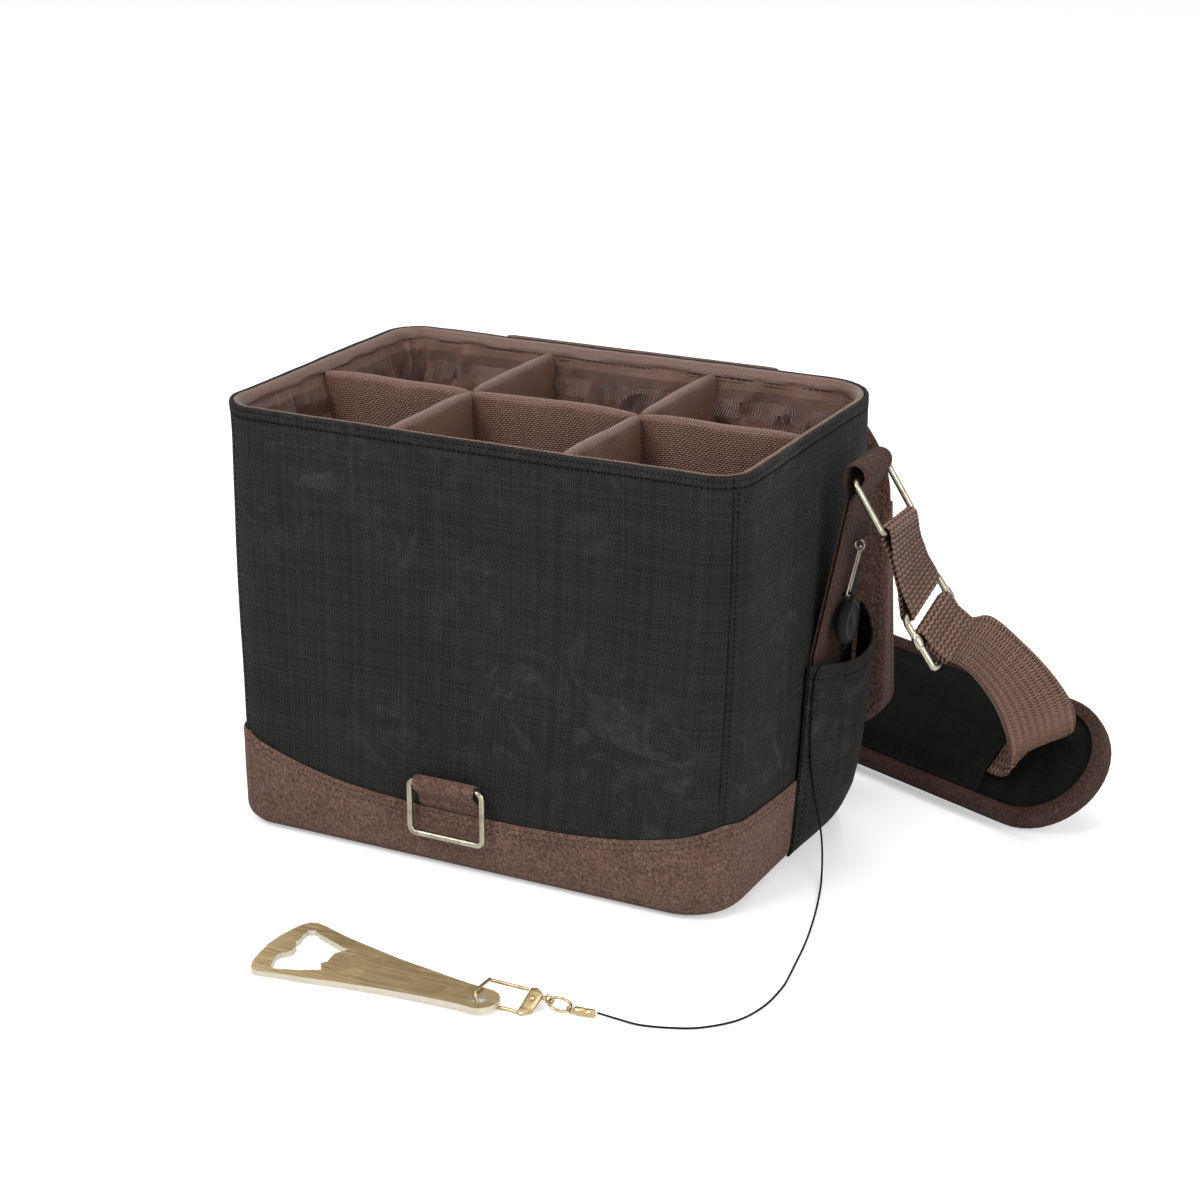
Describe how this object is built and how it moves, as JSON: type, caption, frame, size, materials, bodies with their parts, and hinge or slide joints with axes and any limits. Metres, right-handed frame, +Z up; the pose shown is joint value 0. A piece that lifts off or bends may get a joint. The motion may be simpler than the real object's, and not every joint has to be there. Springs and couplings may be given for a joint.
{
  "type": "cooler tote",
  "caption": "Soft insulated tote in charcoal waxed canvas and brown suede, lid open behind, padded dividers, padded shoulder strap and an opener on a retractable cord",
  "frame": {"origin": "Middle of the bag's flat underside", "axes": "+X along the bag's long side, toward the pocket with the reel. -Y out of the front wall that carries the single ring. +Z up, the bag standing."},
  "size_m": [0.4686, 0.5642, 0.2263],
  "materials": {
    "canvas": "charcoal waxed cotton canvas",
    "suede": "reddish brown suede",
    "lining": "brown twill lining",
    "foam": "closed-cell foam",
    "webbing": "brown ribbed webbing",
    "nickel": "antique nickel plate",
    "brass": "antique brushed brass",
    "black": "black moulded plastic and cord"
  },
  "bodies": {
    "root": {"canvas_front": "canvas", "canvas_back": "canvas", "canvas_left": "canvas", "canvas_right": "canvas", "pocket": "canvas", "hinge_strip": "canvas", "base_panel": "suede", "suede_trim": "suede", "tab_left": "suede", "tab_right": "suede", "front_tab": "suede", "lining_tub": "lining", "rim_facing": "lining", "divider_long": "lining", "divider_left": "lining", "divider_right": "lining", "base_foam": "foam", "wall_foam": "foam", "webbing_pad": "webbing", "webbing_right": "webbing", "webbing_left": "webbing", "tab_eyelet": "nickel", "hanger_link": "nickel", "ferrule": "brass", "reel_case": "black", "retract_cord": "black"},
    "lid": {"lid_cover": "suede", "lid_foam": "foam", "lid_lining": "lining", "lid_skirt": "suede", "closure_patch": "suede"},
    "closure_upper": {"closure_upper": "suede"},
    "closure_lower": {"closure_lower": "suede", "closure_hook": "nickel"},
    "front_ring": {"front_ring": "nickel"},
    "right_link": {"ring_right": "nickel", "link_right": "webbing", "slider_right": "nickel", "slider_bar_right": "nickel", "webbing_end_right": "webbing"},
    "left_link": {"ring_left": "nickel", "link_left": "webbing", "slider_left": "nickel", "slider_bar_left": "nickel", "webbing_end_left": "webbing"},
    "shoulder_pad": {"pad_core": "canvas", "pad_binding": "suede", "pad_sleeve": "canvas"},
    "reel_spool": {"reel_spool": "black"},
    "oval_ring": {"oval_ring": "brass"},
    "swivel_eye": {"swivel_eye": "brass"},
    "hook": {"hook_body": "brass", "hook_frame": "brass", "hook_rivet": "brass"},
    "hook_gate": {"hook_gate": "brass"},
    "opener": {"opener": "brass"}
  },
  "joints": [
    {"name": "lid_hinge", "type": "hinge", "parent": "root", "child": "lid", "pos_m": [0, 0.095, 0.2294], "axis": [1, 0, 0], "range_deg": [0, 270]},
    {"name": "closure_swing", "type": "hinge", "parent": "lid", "child": "closure_upper", "pos_m": [-0.012, 0.09165, 0.0335], "axis": [1, 0, 0], "range_deg": [0, 90]},
    {"name": "closure_fold", "type": "hinge", "parent": "closure_upper", "child": "closure_lower", "pos_m": [-0.012, 0.09165, 0.0012], "axis": [1, 0, 0], "range_deg": [-90, 0]},
    {"name": "front_ring_swing", "type": "hinge", "parent": "root", "child": "front_ring", "pos_m": [-0.012, -0.09287, 0.0484], "axis": [1, 0, 0], "range_deg": [-150, 0]},
    {"name": "right_ring_swing", "type": "hinge", "parent": "root", "child": "right_link", "pos_m": [0.16, 0.019, 0.202], "axis": [0, -1, 0], "range_deg": [0, 25], "deforming": ["webbing_right"]},
    {"name": "left_ring_swing", "type": "hinge", "parent": "root", "child": "left_link", "pos_m": [-0.16, 0.019, 0.202], "axis": [0, 1, 0], "range_deg": [0, 25], "deforming": ["webbing_left"]},
    {"name": "pad_slide", "type": "slide", "parent": "root", "child": "shoulder_pad", "axis": [0.9259, -0.3778, 0], "range_m": [-0.012, 0]},
    {"name": "reel_spin", "type": "hinge", "parent": "root", "child": "reel_spool", "pos_m": [0.1508, 0.019, 0.125], "axis": [1, 0, 0], "continuous": true},
    {"name": "oval_ring_swing", "type": "hinge", "parent": "root", "child": "oval_ring", "pos_m": [0.10627, -0.18795, 0.0022], "axis": [0, 1, 0], "range_deg": [0, 60]},
    {"name": "swivel_eye_swing", "type": "hinge", "parent": "oval_ring", "child": "swivel_eye", "pos_m": [0.09665, -0.1886, 0.00493], "axis": [0, 1, 0], "range_deg": [0, 40]},
    {"name": "hook_swivel", "type": "hinge", "parent": "swivel_eye", "child": "hook", "pos_m": [0.0926, -0.1886, 0.00493], "axis": [1, 0, 0], "continuous": true},
    {"name": "gate_spring", "type": "hinge", "parent": "hook", "child": "hook_gate", "pos_m": [0.0843, -0.1862, 0.0059], "axis": [0, -0.3733, 0.9277], "range_deg": [0, 9], "stiffness_Nm_per_rad": 0.0005},
    {"name": "opener_turn", "type": "hinge", "parent": "hook", "child": "opener", "pos_m": [0.0673, -0.2009, 0.0019], "axis": [-0.0166, -0.0028, 0.9999], "range_deg": [-45, 15]}
  ],
  "couplings": [
    {"joint": "closure_fold", "follows": "closure_swing", "ratio": -1}
  ]
}
